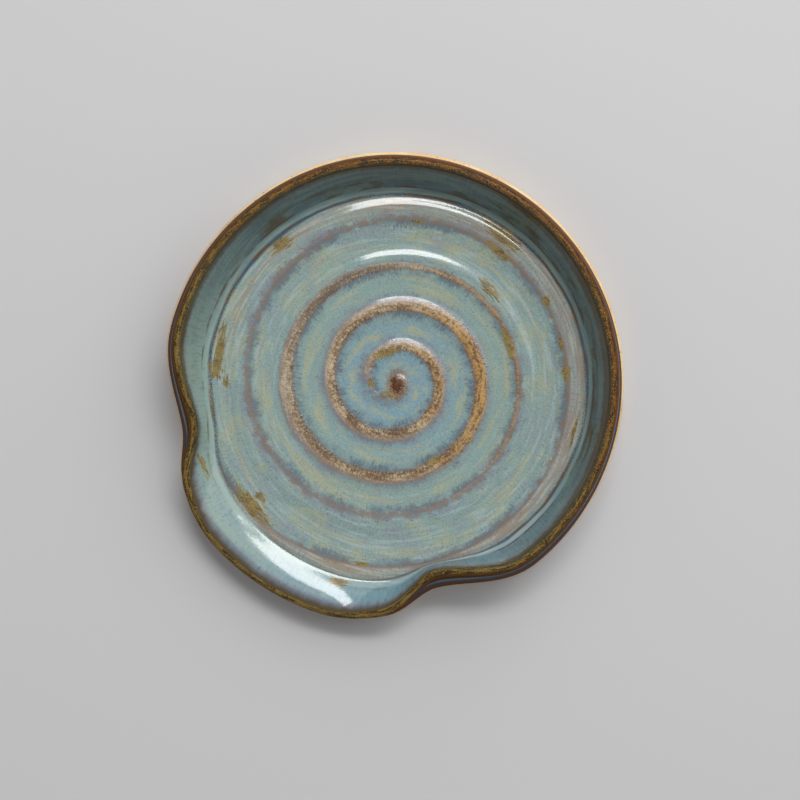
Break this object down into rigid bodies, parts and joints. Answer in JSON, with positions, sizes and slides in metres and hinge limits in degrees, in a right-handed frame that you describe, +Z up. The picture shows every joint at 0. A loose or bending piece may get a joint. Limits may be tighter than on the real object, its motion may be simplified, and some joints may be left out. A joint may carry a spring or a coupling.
{
  "type": "spoon rest",
  "caption": "Shallow round stoneware dish with a spiral throwing ridge on its floor and a low pulled lip between pinches, where a cooking spoon rests with its handle over the lip.",
  "frame": {"origin": "middle of the foot, on the plane that it stands on", "axes": "+Z up, -Y towards the middle of the pulled lip, +X towards the deeper of its pinches"},
  "size_m": [0.127, 0.1297, 0.02],
  "materials": {
    "bare_stoneware": "unglazed fired buff stoneware, slightly gritty",
    "blue_green_glaze": "glossy floating blue-green glaze that breaks to brown where it is thin",
    "brown_rim_glaze": "glossy thin glaze broken to amber brown",
    "outside_glaze": "glossy dark blue-brown glaze"
  },
  "bodies": {
    "root": {"stoneware_body": "bare_stoneware", "inside_glaze": "blue_green_glaze", "rim_glaze": "brown_rim_glaze", "outside_glaze": "outside_glaze"}
  },
  "joints": []
}
